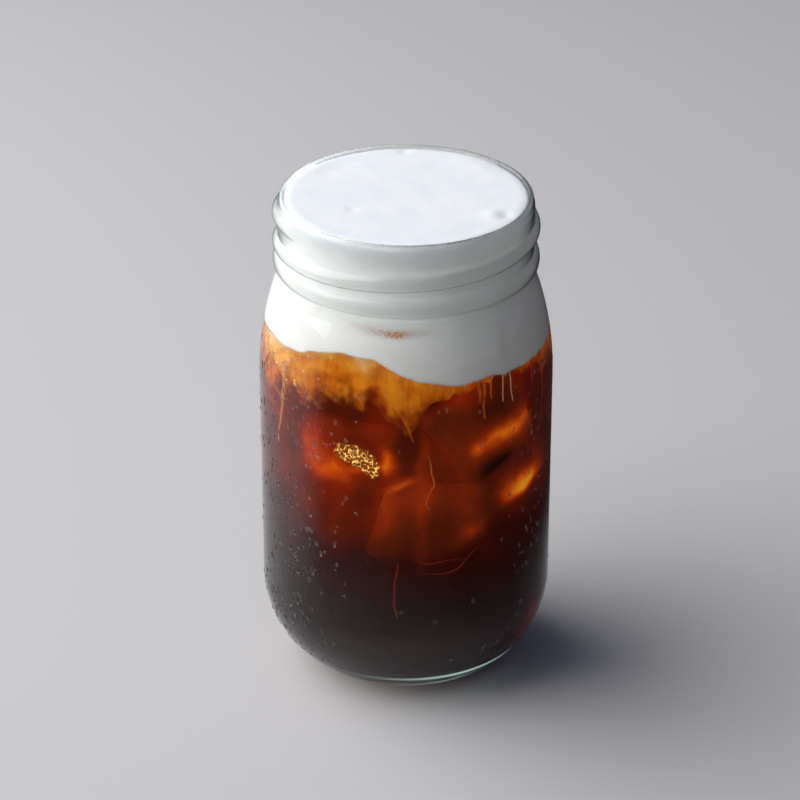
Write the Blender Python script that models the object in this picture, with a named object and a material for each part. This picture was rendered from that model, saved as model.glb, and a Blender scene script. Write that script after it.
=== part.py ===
"""Iced coffee under a deep layer of cream foam, in the glass preserving jar that it is served in.

The jar stands on the ring under its base, with the origin at the middle of that ring and +Z up.
Seen along +Y, the front of the jar is its -Y side. Lengths are in metres.
"""

import math

import bmesh
import bpy
from mathutils import Vector

MM = 0.001
FULL_TURN = 2.0 * math.pi

# Faces round every turned piece, shared so that neighbours stay parallel to each other
SEGMENTS = 64
# Clearance between the glass, the coffee and the cream
GAP = 0.3 * MM
# Points closer than this are one point, such as those at the poles
MERGE_DISTANCE = 0.0001 * MM

# Jar: outside
JAR_HEIGHT = 137.0 * MM
BODY_RADIUS = 39.5 * MM
FOOT_INNER_RADIUS = 18.4 * MM
FOOT_OUTER_RADIUS = 21.4 * MM
HEEL_HEIGHT = 25.3 * MM
HEEL_REACH = 21.0 * MM
HEEL_FULLNESS = 1.89
HEEL_LOWEST_ANGLE = math.radians(13.0)
SHOULDER_START = 86.0 * MM
SHOULDER_END = 115.6 * MM
SHOULDER_BEND_RADIUS = 83.5 * MM
BEAD_MIDDLE = 119.1 * MM
BEAD_HALF_HEIGHT = 3.2 * MM
BEAD_BULGE = 1.4 * MM
NECK_RADIUS = 33.7 * MM
LIP_RADIUS = 33.4 * MM

# The underside is pushed up inside the foot: shares of the foot's radius and of the push-up
PUSH_UP = 2.6 * MM
PUSH_UP_CURVE = ((0.0, 1.0), (0.6, 0.75), (0.93, 0.22))

# Jar: inside
BORE_RADIUS = 30.4 * MM
WALL_THICKNESS = 2.4 * MM
BORE_START = 120.0 * MM
INNER_HEEL_HEIGHT = 20.8 * MM
INNER_HEEL_REACH = 21.1 * MM
INNER_HEEL_FULLNESS = 2.0
INNER_BASE = 5.2 * MM
INNER_PUSH_UP = 1.0 * MM
INNER_PUSH_UP_CURVE = ((0.0, 1.0), (0.55, 0.7))

# Screw thread: one ridge that climbs 8 mm in each turn and sinks into the neck at its ends
THREAD_PITCH = 8.0 * MM
THREAD_HEIGHT_AT_LEFT = 124.4 * MM
THREAD_START = math.radians(100.0)
THREAD_END = math.radians(575.0)
THREAD_RUN_OUT = math.radians(34.0)
THREAD_BULGE = 1.5 * MM
THREAD_HALF_HEIGHT = 2.5 * MM
THREAD_ROOT = 1.2 * MM
THREAD_TIP_HEIGHT_SHARE = 0.35
THREAD_TIP_DEPTH = 0.3 * MM
THREAD_STEPS = 66
THREAD_SECTION_STEPS = 6

# Contents: the line between cream and coffee, which is uneven round the glass
LINE_HEIGHT = 100.6 * MM
LINE_MIDDLE_HEIGHT = 96.0 * MM
LINE_CURL = 3
CREAM_TOP = 135.9 * MM
CREAM_CROWN = 0.5 * MM

# Shares of the radius at which the cream's underside and its top have points
UNDERSIDE_SHARES = (0.4, 0.65, 0.85)
TOP_SHARES = (1.0, 0.93, 0.82, 0.7, 0.56, 0.4, 0.2, 0.0)

# Where the cream line rises or dips against the glass: angle, rise and width
LINE_WAVES = (
    (math.radians(-111.0), 8.4 * MM, math.radians(19.0)),
    (math.radians(-54.0), 1.6 * MM, math.radians(6.0)),
    (math.radians(-28.0), -2.2 * MM, math.radians(20.0)),
    (math.radians(42.0), 4.6 * MM, math.radians(22.0)),
    (math.radians(98.0), -2.4 * MM, math.radians(26.0)),
    (math.radians(150.0), 3.2 * MM, math.radians(18.0)),
)

# Soft lumps and dents on top of the cream: x, y, rise and width
CREAM_LUMPS = (
    (21.5 * MM, -12.5 * MM, 0.55 * MM, 3.4 * MM),
    (15.5 * MM, 22.5 * MM, 0.60 * MM, 4.2 * MM),
    (-17.0 * MM, 19.5 * MM, -0.45 * MM, 4.6 * MM),
    (-14.0 * MM, -11.0 * MM, -0.30 * MM, 2.6 * MM),
    (2.0 * MM, 26.0 * MM, 0.40 * MM, 3.6 * MM),
)

# Edges that bend less than this are shaded smooth
GLASS_SMOOTH_BELOW = math.radians(40.0)
DRINK_SMOOTH_BELOW = math.radians(50.0)


def clear_scene():
    for thing in list(bpy.data.objects):
        bpy.data.objects.remove(thing)


def finish(name, colour, roughness, transmission=0.0):
    """One plain material for a sub-part."""
    material = bpy.data.materials.new(name)
    material.use_nodes = True
    shader = material.node_tree.nodes["Principled BSDF"]
    shader.inputs["Base Color"].default_value = (*colour, 1.0)
    shader.inputs["Roughness"].default_value = roughness
    shader.inputs["Metallic"].default_value = 0.0
    shader.inputs["Transmission Weight"].default_value = transmission
    material.diffuse_color = (*colour, 1.0)
    return material


def spread(start, end, count):
    """Evenly spaced values from start to end, both included."""
    return [start + (end - start) * i / (count - 1) for i in range(count)]


def heel_curve(centre_radius, base, reach, height, fullness, lowest, count):
    """The rounded turn from the base to the wall, as points (radius, height) from bottom to top."""
    points = []
    for angle in spread(lowest, math.pi / 2, count):
        outward = math.sin(angle) ** (2.0 / fullness)
        upward = 1.0 - max(math.cos(angle), 0.0) ** (2.0 / fullness)
        points.append((centre_radius + reach * outward, base + height * upward))
    return points


def shoulder_radius(height, inset):
    """Radius of the long shoulder arc, inset from the outside by a wall thickness."""
    rise = max(height - SHOULDER_START, 0.0)
    bend = SHOULDER_BEND_RADIUS - inset
    return BODY_RADIUS - SHOULDER_BEND_RADIUS + math.sqrt(bend**2 - rise**2)


def outside_profile():
    """From the middle of the underside, up the outside of the jar, to just under the lip."""
    points = [(FOOT_INNER_RADIUS * share, PUSH_UP * rise) for share, rise in PUSH_UP_CURVE]
    points += [(FOOT_INNER_RADIUS, 0.0), (FOOT_OUTER_RADIUS, 0.0)]
    heel_centre = BODY_RADIUS - HEEL_REACH
    points += heel_curve(heel_centre, 0.0, HEEL_REACH, HEEL_HEIGHT, HEEL_FULLNESS, HEEL_LOWEST_ANGLE, 8)
    for height in spread(SHOULDER_START, SHOULDER_END, 6):
        points.append((shoulder_radius(height, 0.0), height))
    bead_root = points[-1][0]
    for angle in spread(-math.pi / 2, math.pi / 2, 7)[1:]:
        root = bead_root + (NECK_RADIUS - bead_root) * (angle / math.pi + 0.5)
        height = BEAD_MIDDLE + BEAD_HALF_HEIGHT * math.sin(angle)
        points.append((root + BEAD_BULGE * math.cos(angle), height))
    return points


def lip_profile():
    """The round lip, over from its outer side to the bore."""
    radius = (LIP_RADIUS - BORE_RADIUS) / 2
    middle = BORE_RADIUS + radius
    return [
        (middle + radius * math.cos(angle), JAR_HEIGHT - radius + radius * math.sin(angle))
        for angle in spread(0.0, math.pi, 7)
    ]


def inside_radius(height):
    """Radius of the jar's inside at a height above the inner heel."""
    if height >= BORE_START:
        return BORE_RADIUS
    return max(shoulder_radius(height, WALL_THICKNESS), BORE_RADIUS)


def inside_base_profile(inset):
    """The inside of the base and heel, from the middle to the wall, moved in by inset."""
    centre = BODY_RADIUS - WALL_THICKNESS - INNER_HEEL_REACH
    base = INNER_BASE + inset
    reach = INNER_HEEL_REACH - inset
    height = INNER_HEEL_HEIGHT - inset
    points = [(centre * share, base + INNER_PUSH_UP * rise) for share, rise in INNER_PUSH_UP_CURVE]
    return points + heel_curve(centre, base, reach, height, INNER_HEEL_FULLNESS, 0.0, 8)


def jar_profile(_angle):
    """The whole section of the glass, the same all round."""
    inner_shoulder = [
        (inside_radius(height), height) for height in spread(SHOULDER_END, SHOULDER_START, 6)
    ]
    inner_base = inside_base_profile(0.0)[::-1]
    return outside_profile() + lip_profile() + [(BORE_RADIUS, BORE_START)] + inner_shoulder + inner_base


def bell(distance, width):
    """A smooth bump of height 1 that fades over its width."""
    return math.exp(-((distance / width) ** 2))


def turn_between(a, b):
    """The angle from b to a, the short way round."""
    return (a - b + math.pi) % FULL_TURN - math.pi


def cream_line(angle):
    """Height at which cream meets coffee on the glass."""
    waves = sum(rise * bell(turn_between(angle, at), width) for at, rise, width in LINE_WAVES)
    return LINE_HEIGHT + waves


def cream_underside(share, angle):
    """Height of the cream's underside at a share of the radius, from the middle to the glass."""
    curl = share**LINE_CURL
    return cream_line(angle) * curl + LINE_MIDDLE_HEIGHT * (1.0 - curl)


def cream_surface(radius, angle):
    """Height of the cream's top, with its crown, lumps and dents."""
    x = radius * math.cos(angle)
    y = radius * math.sin(angle)
    crown = CREAM_CROWN * (1.0 - (radius / BORE_RADIUS) ** 2)
    lumps = sum(
        rise * bell(math.hypot(x - lump_x, y - lump_y), width) for lump_x, lump_y, rise, width in CREAM_LUMPS
    )
    return CREAM_TOP + crown + lumps


def coffee_profile(angle):
    """From the middle of the base, up the glass to the cream line, and back in under the cream."""
    line = cream_line(angle)
    points = inside_base_profile(GAP)
    for height in spread(SHOULDER_START, line, 5):
        points.append((inside_radius(height) - GAP, height))
    rim = points[-1][0]
    for share in UNDERSIDE_SHARES[::-1] + (0.0,):
        points.append((rim * share, cream_underside(share, angle)))
    return points


def cream_profile(angle):
    """From the middle of the underside, out to the glass, up to the lip and back in over the top."""
    line = cream_line(angle) + GAP
    rim = inside_radius(line) - GAP
    points = []
    for share in (0.0,) + UNDERSIDE_SHARES:
        points.append((rim * share, cream_underside(share, angle) + GAP))
    for height in spread(line, SHOULDER_END, 4) + [BORE_START - GAP]:
        points.append((inside_radius(height) - GAP, height))
    for share in TOP_SHARES:
        radius = (BORE_RADIUS - GAP) * share
        points.append((radius, cream_surface(radius, angle)))
    return points


def mesh_from(shape, name):
    """Close a working shape into a mesh with its faces pointing out."""
    bmesh.ops.remove_doubles(shape, verts=shape.verts, dist=MERGE_DISTANCE)
    bmesh.ops.recalc_face_normals(shape, faces=shape.faces)
    mesh = bpy.data.meshes.new(name)
    shape.to_mesh(mesh)
    shape.free()
    return mesh


def turned_mesh(name, profile_at):
    """A closed body turned about Z. Its profile may change with the angle, from pole to pole."""
    shape = bmesh.new()
    columns = []
    for i in range(SEGMENTS):
        angle = FULL_TURN * i / SEGMENTS
        column = [
            shape.verts.new((radius * math.cos(angle), radius * math.sin(angle), height))
            for radius, height in profile_at(angle)
        ]
        columns.append(column)
    for i, column in enumerate(columns):
        following = columns[(i + 1) % SEGMENTS]
        for low in range(len(column) - 1):
            shape.faces.new((column[low], following[low], following[low + 1], column[low + 1]))
    return mesh_from(shape, name)


def thread_section(angle):
    """One rounded section of the ridge, slimmer and sunk into the neck towards both of its ends."""
    from_end = min(angle - THREAD_START, THREAD_END - angle) / THREAD_RUN_OUT
    size = math.sin(min(max(from_end, 0.0), 1.0) * math.pi / 2)
    middle = THREAD_HEIGHT_AT_LEFT + THREAD_PITCH * (angle - math.pi) / FULL_TURN
    half_height = THREAD_HALF_HEIGHT * (THREAD_TIP_HEIGHT_SHARE + (1.0 - THREAD_TIP_HEIGHT_SHARE) * size)
    bulge = THREAD_BULGE * size
    face = NECK_RADIUS - THREAD_TIP_DEPTH
    root = NECK_RADIUS - THREAD_ROOT
    section = [(root, middle + half_height), (root, middle - half_height)]
    for tilt in spread(-math.pi / 2, math.pi / 2, THREAD_SECTION_STEPS):
        section.append((face + bulge * math.cos(tilt), middle + half_height * math.sin(tilt)))
    direction = Vector((math.cos(angle), math.sin(angle), 0.0))
    return [direction * radius + Vector((0.0, 0.0, height)) for radius, height in section]


def thread_mesh():
    """The ridge as one closed body along its helix."""
    shape = bmesh.new()
    rings = [
        [shape.verts.new(point) for point in thread_section(angle)]
        for angle in spread(THREAD_START, THREAD_END, THREAD_STEPS)
    ]
    for ring, following in zip(rings, rings[1:]):
        for i in range(len(ring)):
            j = (i + 1) % len(ring)
            shape.faces.new((ring[i], ring[j], following[j], following[i]))
    shape.faces.new(rings[0])
    shape.faces.new(rings[-1])
    return mesh_from(shape, "thread")


def new_object(name, mesh, material, smooth_below):
    mesh.materials.append(material)
    mesh.shade_smooth()
    mesh.set_sharp_from_angle(angle=smooth_below)
    piece = bpy.data.objects.new(name, mesh)
    bpy.context.scene.collection.objects.link(piece)
    return piece


def add_jar():
    """The glass, with its screw thread joined on as one solid."""
    glass = finish("clear_glass", (0.86, 0.93, 0.92), 0.03, transmission=1.0)
    jar = new_object("jar", turned_mesh("jar", jar_profile), glass, GLASS_SMOOTH_BELOW)
    thread = new_object("thread", thread_mesh(), glass, GLASS_SMOOTH_BELOW)
    join = jar.modifiers.new("thread", "BOOLEAN")
    join.operation = "UNION"
    join.object = thread
    bpy.context.view_layer.update()
    evaluated = jar.evaluated_get(bpy.context.evaluated_depsgraph_get())
    joined = bpy.data.meshes.new_from_object(evaluated)
    jar.modifiers.clear()
    jar.data = joined
    bpy.data.objects.remove(thread)
    joined.shade_smooth()
    joined.set_sharp_from_angle(angle=GLASS_SMOOTH_BELOW)


def add_coffee():
    dark_coffee = finish("dark_coffee", (0.055, 0.014, 0.006), 0.08)
    new_object("coffee", turned_mesh("coffee", coffee_profile), dark_coffee, DRINK_SMOOTH_BELOW)


def add_cream():
    white_cream = finish("white_cream", (0.90, 0.89, 0.86), 0.45)
    new_object("cream", turned_mesh("cream", cream_profile), white_cream, DRINK_SMOOTH_BELOW)


def main():
    clear_scene()
    add_jar()
    add_coffee()
    add_cream()


main()
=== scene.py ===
# %% [markdown]
# # Iced coffee under cream foam, in a glass preserving jar
# A clear jar with a screw-thread neck holds black coffee, ice cubes and a deep layer of cream foam.
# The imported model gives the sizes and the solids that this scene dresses. Three things make the look:
# glass that bends and tints light, coffee that swallows it with depth, and pale things hung inside the
# coffee at different depths, which then glow from yellow through amber to deep red by themselves.

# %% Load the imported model
import math
import random

import bpy
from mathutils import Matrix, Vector, noise


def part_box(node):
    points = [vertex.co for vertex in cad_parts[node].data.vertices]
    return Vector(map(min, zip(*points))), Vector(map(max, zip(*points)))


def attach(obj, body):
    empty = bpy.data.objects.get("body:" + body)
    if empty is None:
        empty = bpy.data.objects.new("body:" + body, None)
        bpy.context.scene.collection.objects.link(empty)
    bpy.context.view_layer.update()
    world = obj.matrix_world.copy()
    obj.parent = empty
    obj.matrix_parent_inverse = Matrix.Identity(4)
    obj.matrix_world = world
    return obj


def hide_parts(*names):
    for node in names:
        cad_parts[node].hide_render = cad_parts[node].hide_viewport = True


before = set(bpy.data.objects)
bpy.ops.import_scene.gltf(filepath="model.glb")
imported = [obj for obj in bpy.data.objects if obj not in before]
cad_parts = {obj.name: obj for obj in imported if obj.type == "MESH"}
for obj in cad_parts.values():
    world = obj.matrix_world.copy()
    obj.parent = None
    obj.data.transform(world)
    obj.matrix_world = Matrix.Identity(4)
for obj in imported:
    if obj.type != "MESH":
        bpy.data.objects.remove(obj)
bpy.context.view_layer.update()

MM = 0.001
FULL_TURN = 2.0 * math.pi

# %% [markdown]
# ## Sizes
# The jar node's box gives the two sizes that everything else follows: the jar's height and the radius
# of its body. The visible glass is a hair slimmer than the solid, which leaves room for water drops.

# %% Driving sizes
jar_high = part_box("jar")[1]
JAR_HEIGHT = jar_high.z
DROP_ROOM = 0.22 * MM
BODY_RADIUS = jar_high.x - DROP_ROOM
WALL = 2.3 * MM
INNER_RADIUS = BODY_RADIUS - WALL
NECK_RADIUS = 33.7 * MM
LIP_RADIUS = 33.4 * MM
BORE_RADIUS = 30.4 * MM
SHOULDER_START = 86.0 * MM
SHOULDER_END = 115.6 * MM
SHOULDER_BEND = 83.5 * MM
REACH_INTO_WALL = 0.25 * MM
print(f"jar {JAR_HEIGHT / MM:.1f} mm tall, body radius {BODY_RADIUS / MM:.2f} mm")

# %% [markdown]
# ## Working by hand, in code
# Each piece starts as a primitive that is shaped in edit mode. These helpers clear the selection, open
# edit mode, apply a modifier, copy and join pieces and store a number at every vertex, so that the
# cells below read as the steps of a modeller.


# %% Small modelling helpers
def deselect():
    """The loaded nodes are selected at first, and an operator would change them too."""
    bpy.ops.object.select_all(action="DESELECT")


def activate(piece):
    deselect()
    piece.select_set(True)
    bpy.context.view_layer.objects.active = piece


def edit_all(piece):
    activate(piece)
    bpy.ops.object.mode_set(mode="EDIT")
    bpy.ops.mesh.select_mode(type="VERT")
    bpy.ops.mesh.select_all(action="SELECT")


def leave_edit():
    bpy.ops.object.mode_set(mode="OBJECT")


def apply_modifier(piece, kind, **settings):
    """Add a modifier, set it up and apply it."""
    activate(piece)
    modifier = piece.modifiers.new(kind.lower(), kind)
    for key, value in settings.items():
        setattr(modifier, key, value)
    bpy.ops.object.modifier_apply(modifier=modifier.name)


def place_in_mesh(piece):
    """Move a piece's place, turn and scale into its mesh."""
    activate(piece)
    bpy.ops.object.transform_apply(location=True, rotation=True, scale=True)


def smooth(piece, angle=math.radians(180)):
    activate(piece)
    bpy.ops.object.shade_smooth_by_angle(angle=angle)


def spread(start, end, count):
    """Evenly spaced values from start to end, both included."""
    return [start + (end - start) * i / (count - 1) for i in range(count)]


def count_faces(piece):
    print(f"{piece.name}: {len(piece.data.polygons)} faces")


def scattered(first, place, size, turn=(0.0, 0.0, 0.0)):
    """A copy with a mesh of its own, put at a place, with a size along each of its axes."""
    twin = first.copy()
    twin.data = first.data.copy()
    bpy.context.scene.collection.objects.link(twin)
    twin.location = place
    twin.scale = size
    twin.rotation_euler = turn
    return twin


def joined(pieces, name):
    """One piece made of many, with its place in its mesh."""
    deselect()
    for piece in pieces:
        piece.select_set(True)
    bpy.context.view_layer.objects.active = pieces[0]
    bpy.ops.object.join()
    whole = bpy.context.object
    whole.name = name
    place_in_mesh(whole)
    smooth(whole)
    count_faces(whole)
    return whole


def keep_value(piece, name, value_of):
    """Store a number at every vertex, for the piece's finish to read."""
    layer = piece.data.attributes.new(name, "FLOAT", "POINT")
    for vertex in piece.data.vertices:
        layer.data[vertex.index].value = value_of(vertex)


# %% [markdown]
# ## Turned shapes
# A jar is round, so its section is drawn once as a line of points, extruded one from the other, and a
# Screw modifier turns that line about the jar's axis. Stacked rings would also do, but one drawn
# section is easier to read and to change.

# %% Draw a section and turn it
SEGMENTS = 192
MERGE = 0.001 * MM


def turned(name, section, segments=SEGMENTS):
    """A closed round body from a section given as (radius, height) points, from pole to pole."""
    deselect()
    bpy.ops.mesh.primitive_plane_add(size=MM)
    piece = bpy.context.object
    piece.name = name
    edit_all(piece)
    bpy.ops.mesh.merge(type="CENTER")
    radius, height = section[0]
    bpy.ops.transform.translate(value=(radius, 0.0, height))
    for next_radius, next_height in section[1:]:
        step = (next_radius - radius, 0.0, next_height - height)
        bpy.ops.mesh.extrude_region_move(TRANSFORM_OT_translate={"value": step})
        radius, height = next_radius, next_height
    leave_edit()
    apply_modifier(
        piece, "SCREW", steps=segments, render_steps=segments, use_merge_vertices=True, merge_threshold=MERGE
    )
    edit_all(piece)
    bpy.ops.mesh.remove_doubles(threshold=MERGE)
    bpy.ops.mesh.normals_make_consistent(inside=False)
    leave_edit()
    smooth(piece)
    return piece


def reshape(piece, new_place):
    """Move every vertex of a piece to the place that a function gives it."""
    for vertex in piece.data.vertices:
        vertex.co = new_place(vertex.co)
    piece.data.update()


def angle_of(place):
    return math.atan2(place.y, place.x)


def radius_of(place):
    return math.hypot(place.x, place.y)


def round_place(angle, radius, height):
    """A place round the jar's axis."""
    return Vector((radius * math.cos(angle), radius * math.sin(angle), height))


# %% [markdown]
# ## The jar's section
# Bottom to top: a shallow push-up inside the foot ring, a full round heel, a straight wall, a long
# shoulder arc, a round bead, and the neck up to the round lip. The inside follows at the glass's own
# thickness, which is greatest in the base. A Solidify modifier could give the wall too, but not one
# that thickens towards the base and thins at the lip.

# %% Jar section
FOOT_INNER = 18.4 * MM
FOOT_OUTER = 21.4 * MM
PUSH_UP = 2.6 * MM
HEEL_REACH = 21.0 * MM
HEEL_HEIGHT = 25.3 * MM
HEEL_FULLNESS = 1.89
BEAD_MIDDLE = 119.6 * MM
BEAD_HALF = 2.4 * MM
BEAD_BULGE = 1.4 * MM
INNER_BASE = 3.9 * MM
INNER_PUSH_UP = 1.0 * MM
INNER_HEEL_REACH = 21.1 * MM
INNER_HEEL_HEIGHT = 21.6 * MM
LIP_BORE = 31.8 * MM
LIP_DROP = 1.6 * MM
BORE_OPENS = (130.0 * MM, 135.4 * MM)


def smooth_step(value, low, high):
    share = min(max((value - low) / (high - low), 0.0), 1.0)
    return share * share * (3.0 - 2.0 * share)


def heel_curve(centre, base, reach, height, fullness, lowest, count):
    points = []
    for angle in spread(lowest, math.pi / 2, count):
        outward = math.sin(angle) ** (2.0 / fullness)
        upward = 1.0 - max(math.cos(angle), 0.0) ** (2.0 / fullness)
        points.append((centre + reach * outward, base + height * upward))
    return points


def shoulder_radius(height, body_radius, inset=0.0):
    rise = max(height - SHOULDER_START, 0.0)
    return body_radius - SHOULDER_BEND + math.sqrt((SHOULDER_BEND - inset) ** 2 - rise**2)


def inner_radius(height):
    """Radius of the jar's inside above the heel."""
    return max(shoulder_radius(min(height, SHOULDER_END), BODY_RADIUS, WALL), BORE_RADIUS)


def bore_radius(height):
    """Radius of the neck's inside, which opens a little below the lip."""
    return BORE_RADIUS + (LIP_BORE - BORE_RADIUS) * smooth_step(height, *BORE_OPENS)


def outside_section():
    points = [(0.0, PUSH_UP), (FOOT_INNER * 0.35, PUSH_UP * 0.95), (FOOT_INNER * 0.7, PUSH_UP * 0.68)]
    points += [(FOOT_INNER * 0.93, PUSH_UP * 0.2), (FOOT_INNER, 0.0), (FOOT_OUTER, 0.0)]
    points += heel_curve(
        BODY_RADIUS - HEEL_REACH, 0.0, HEEL_REACH, HEEL_HEIGHT, HEEL_FULLNESS, math.radians(13), 44
    )
    points += [(BODY_RADIUS, height) for height in spread(30 * MM, SHOULDER_START, 6)]
    points += [
        (shoulder_radius(height, BODY_RADIUS), height)
        for height in spread(SHOULDER_START + 2 * MM, SHOULDER_END, 12)
    ]
    root = points[-1][0]
    for angle in spread(-math.pi / 2, math.pi / 2, 15)[1:]:
        neck = root + (NECK_RADIUS - root) * (angle / math.pi + 0.5)
        points.append((neck + BEAD_BULGE * math.cos(angle), BEAD_MIDDLE + BEAD_HALF * math.sin(angle)))
    lip_half = (LIP_RADIUS - LIP_BORE) / 2
    points += [
        (NECK_RADIUS, height) for height in spread(points[-1][1] + 0.3 * MM, JAR_HEIGHT - 2.5 * MM, 52)
    ]
    points += [
        (LIP_BORE + lip_half * (1 + math.cos(angle)), JAR_HEIGHT - LIP_DROP * (1 - math.sin(angle)))
        for angle in spread(0.0, math.pi, 17)
    ]
    return points


def inside_section():
    points = [
        (bore_radius(height), height) for height in spread(JAR_HEIGHT - 2 * MM, SHOULDER_END + 0.5 * MM, 42)
    ]
    points += [(inner_radius(height), height) for height in spread(SHOULDER_END, SHOULDER_START, 14)]
    centre = INNER_RADIUS - INNER_HEEL_REACH
    heel = heel_curve(centre, INNER_BASE, INNER_HEEL_REACH, INNER_HEEL_HEIGHT, 2.0, 0.0, 16)
    points += [(INNER_RADIUS, height) for height in spread(70 * MM, 32 * MM, 3)] + heel[::-1]
    points += [(centre * share, INNER_BASE + INNER_PUSH_UP * (1 - share**2)) for share in (0.7, 0.4, 0.0)]
    return points


jar = turned("jar_glass", outside_section() + inside_section())
count_faces(jar)

# %% [markdown]
# ## The screw thread
# The thread is one ridge that climbs 8 mm in a turn and fades into the neck at both ends. A vertex
# group holds how far each point of the neck lies inside the ridge, and a Displace modifier pushes the
# glass outwards by that much. A swept ridge joined by a Boolean would leave a hard seam instead.

# %% Raise the thread on the neck
THREAD_PITCH = 8.0 * MM
THREAD_AT_LEFT = 124.4 * MM
THREAD_FIRST = math.radians(100)
THREAD_LAST = math.radians(575)
THREAD_FADE = math.radians(34)
THREAD_RISE = 1.5 * MM
THREAD_HALF = 2.1 * MM
INNER_RISE = 1.0 * MM
SWELL_HALF = 2.9 * MM
NECK_TOP = JAR_HEIGHT - 2 * MM


def thread_share(place, half=THREAD_HALF, roundness=0.7):
    """How much of the ridge's full rise a point of the neck takes, 0 to 1."""
    best = 0.0
    for turn in (0, 1):
        angle = angle_of(place) % FULL_TURN + turn * FULL_TURN
        to_end = min(angle - THREAD_FIRST, THREAD_LAST - angle) / THREAD_FADE
        if to_end <= 0.0:
            continue
        middle = THREAD_AT_LEFT + THREAD_PITCH * (angle - math.pi) / FULL_TURN
        off = (place.z - middle) / half
        if abs(off) < 1.0:
            best = max(best, (1.0 - off * off) ** roundness * math.sin(min(to_end, 1.0) * math.pi / 2))
    return best


def bead_share(height):
    return math.cos(min(abs(height - BEAD_MIDDLE) / (BEAD_HALF + 0.3 * MM), 1.0) * math.pi / 2) ** 1.5


def neck_swell(place):
    """How far the inside of the neck swells behind the thread and the bead: blown glass keeps its wall."""
    return INNER_RISE * max(thread_share(place, SWELL_HALF, 1.6), bead_share(place.z))


ridge = jar.vertex_groups.new(name="thread")
hollow = jar.vertex_groups.new(name="behind_thread")
for vertex in jar.data.vertices:
    radius, height = radius_of(vertex.co), vertex.co.z
    if radius > BORE_RADIUS + 2 * MM and 119 * MM < height < NECK_TOP:
        ridge.add([vertex.index], thread_share(vertex.co), "REPLACE")
    if radius < bore_radius(height) + 0.1 * MM and SHOULDER_END < height < NECK_TOP:
        hollow.add([vertex.index], neck_swell(vertex.co) / INNER_RISE, "REPLACE")
apply_modifier(
    jar, "DISPLACE", direction="NORMAL", strength=THREAD_RISE, mid_level=0.0, vertex_group="thread"
)
apply_modifier(
    jar, "DISPLACE", direction="NORMAL", strength=-INNER_RISE, mid_level=0.0, vertex_group="behind_thread"
)
print("thread raised by", THREAD_RISE / MM, "mm")

# %% [markdown]
# ## The line between cream and coffee
# Foam sits on the coffee and its edge against the glass is uneven: a high lobe at the front left, a
# long dip to the right of it, and gentler waves behind. The line is a sum of smooth bumps round the
# glass, close to the ones that the solids have, with a little noise for the small ragged steps.

# %% Cream line
LINE_HEIGHT = 100.6 * MM
LINE_WAVES = (
    # angle, rise mm, half width in degrees
    (-162, 1.0, 14),
    (-118, 5.0, 22),
    (-102, 1.9, 8),
    (-72, -0.9, 9),
    (-54, 0.8, 5),
    (-48, -2.7, 34),
    (-14, -1.4, 16),
    (42, 4.6, 22),
    (98, -2.4, 26),
    (150, 3.2, 18),
)


def bell(distance, width):
    return math.exp(-((distance / width) ** 2))


def turn_between(a, b):
    return (a - b + math.pi) % FULL_TURN - math.pi


def waves_at(angle, waves):
    """Sum of smooth bumps round the jar, each given as angle, rise mm and half width in degrees."""
    total = 0.0
    for at, rise, width in waves:
        total += rise * MM * bell(turn_between(angle, math.radians(at)), math.radians(width))
    return total


def wall_noise(angle, height, size):
    """Noise of a given size that closes up round the jar."""
    reach = BODY_RADIUS / size
    return noise.noise(Vector((reach * math.cos(angle), reach * math.sin(angle), height / size)))


def cream_line(angle):
    ragged = 0.5 * wall_noise(angle, 0.0, 4 * MM) + 0.25 * wall_noise(angle, 0.03, 1.3 * MM)
    return LINE_HEIGHT + waves_at(angle, LINE_WAVES) + ragged * MM


print("cream line at the front:", round(cream_line(math.radians(-90)) / MM, 1), "mm")

# %% [markdown]
# ## The cream
# The foam fills the neck to the brim. Its side reaches just into the glass wall, so that no air shows
# between them. The top is nearly flat with soft lumps and dents, and it clings to the glass at its
# edge. A turned body gives the form, and each vertex is then moved by the same smooth bumps.

# %% Cream foam
CREAM_TOP = JAR_HEIGHT - 0.6 * MM
CREAM_LUMPS = (
    # x, y, rise, half width, all in mm
    (22.5, -12.0, 0.62, 2.6),
    (25.5, -12.8, -0.75, 2.0),
    (15.5, 22.5, 0.45, 4.2),
    (20.5, 18.0, 0.40, 2.6),
    (-17.0, 19.5, -0.45, 4.4),
    (-21.0, 15.0, -0.25, 2.6),
    (-14.0, -9.0, -0.42, 1.5),
    (-7.0, -19.0, 0.22, 3.0),
    (8.0, -20.0, 0.24, 4.5),
    (-0.5, 29.4, -0.9, 1.3),
)
LINE_STEPS = 26
SIDE_TOP = JAR_HEIGHT - 1.6 * MM


def cream_rim(height):
    return inner_radius(height) + REACH_INTO_WALL


def cream_surface(x, y):
    lumps = 0.0
    for lump_x, lump_y, rise, width in CREAM_LUMPS:
        lumps += rise * MM * bell(math.hypot(x - lump_x * MM, y - lump_y * MM), width * MM)
    fine = 0.06 * MM * noise.noise(Vector((x, y, 0.0)) / (5 * MM))
    fine += 0.015 * MM * noise.noise(Vector((x, y, 0.01)) / (1.8 * MM))
    edge = max(math.hypot(x, y) / LIP_BORE - 0.93, 0.0) / 0.07
    return CREAM_TOP + 0.55 * lumps + fine - 0.3 * MM * edge**2


def cream_section():
    """Flat stand-in section: its lowest ring becomes the cream line."""
    points = [(BORE_RADIUS * share, LINE_HEIGHT - 4 * MM) for share in spread(0.0, 0.9, 12)]
    points += [(cream_rim(height), height) for height in spread(LINE_HEIGHT, SHOULDER_END, LINE_STEPS)]
    points += [
        (bore_radius(height) + REACH_INTO_WALL, height)
        for height in spread(SHOULDER_END + 0.5 * MM, SIDE_TOP, 44)
    ]
    points += [(LIP_BORE * share, CREAM_TOP) for share in spread(1.0, 0.0, 70)]
    return points


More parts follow.
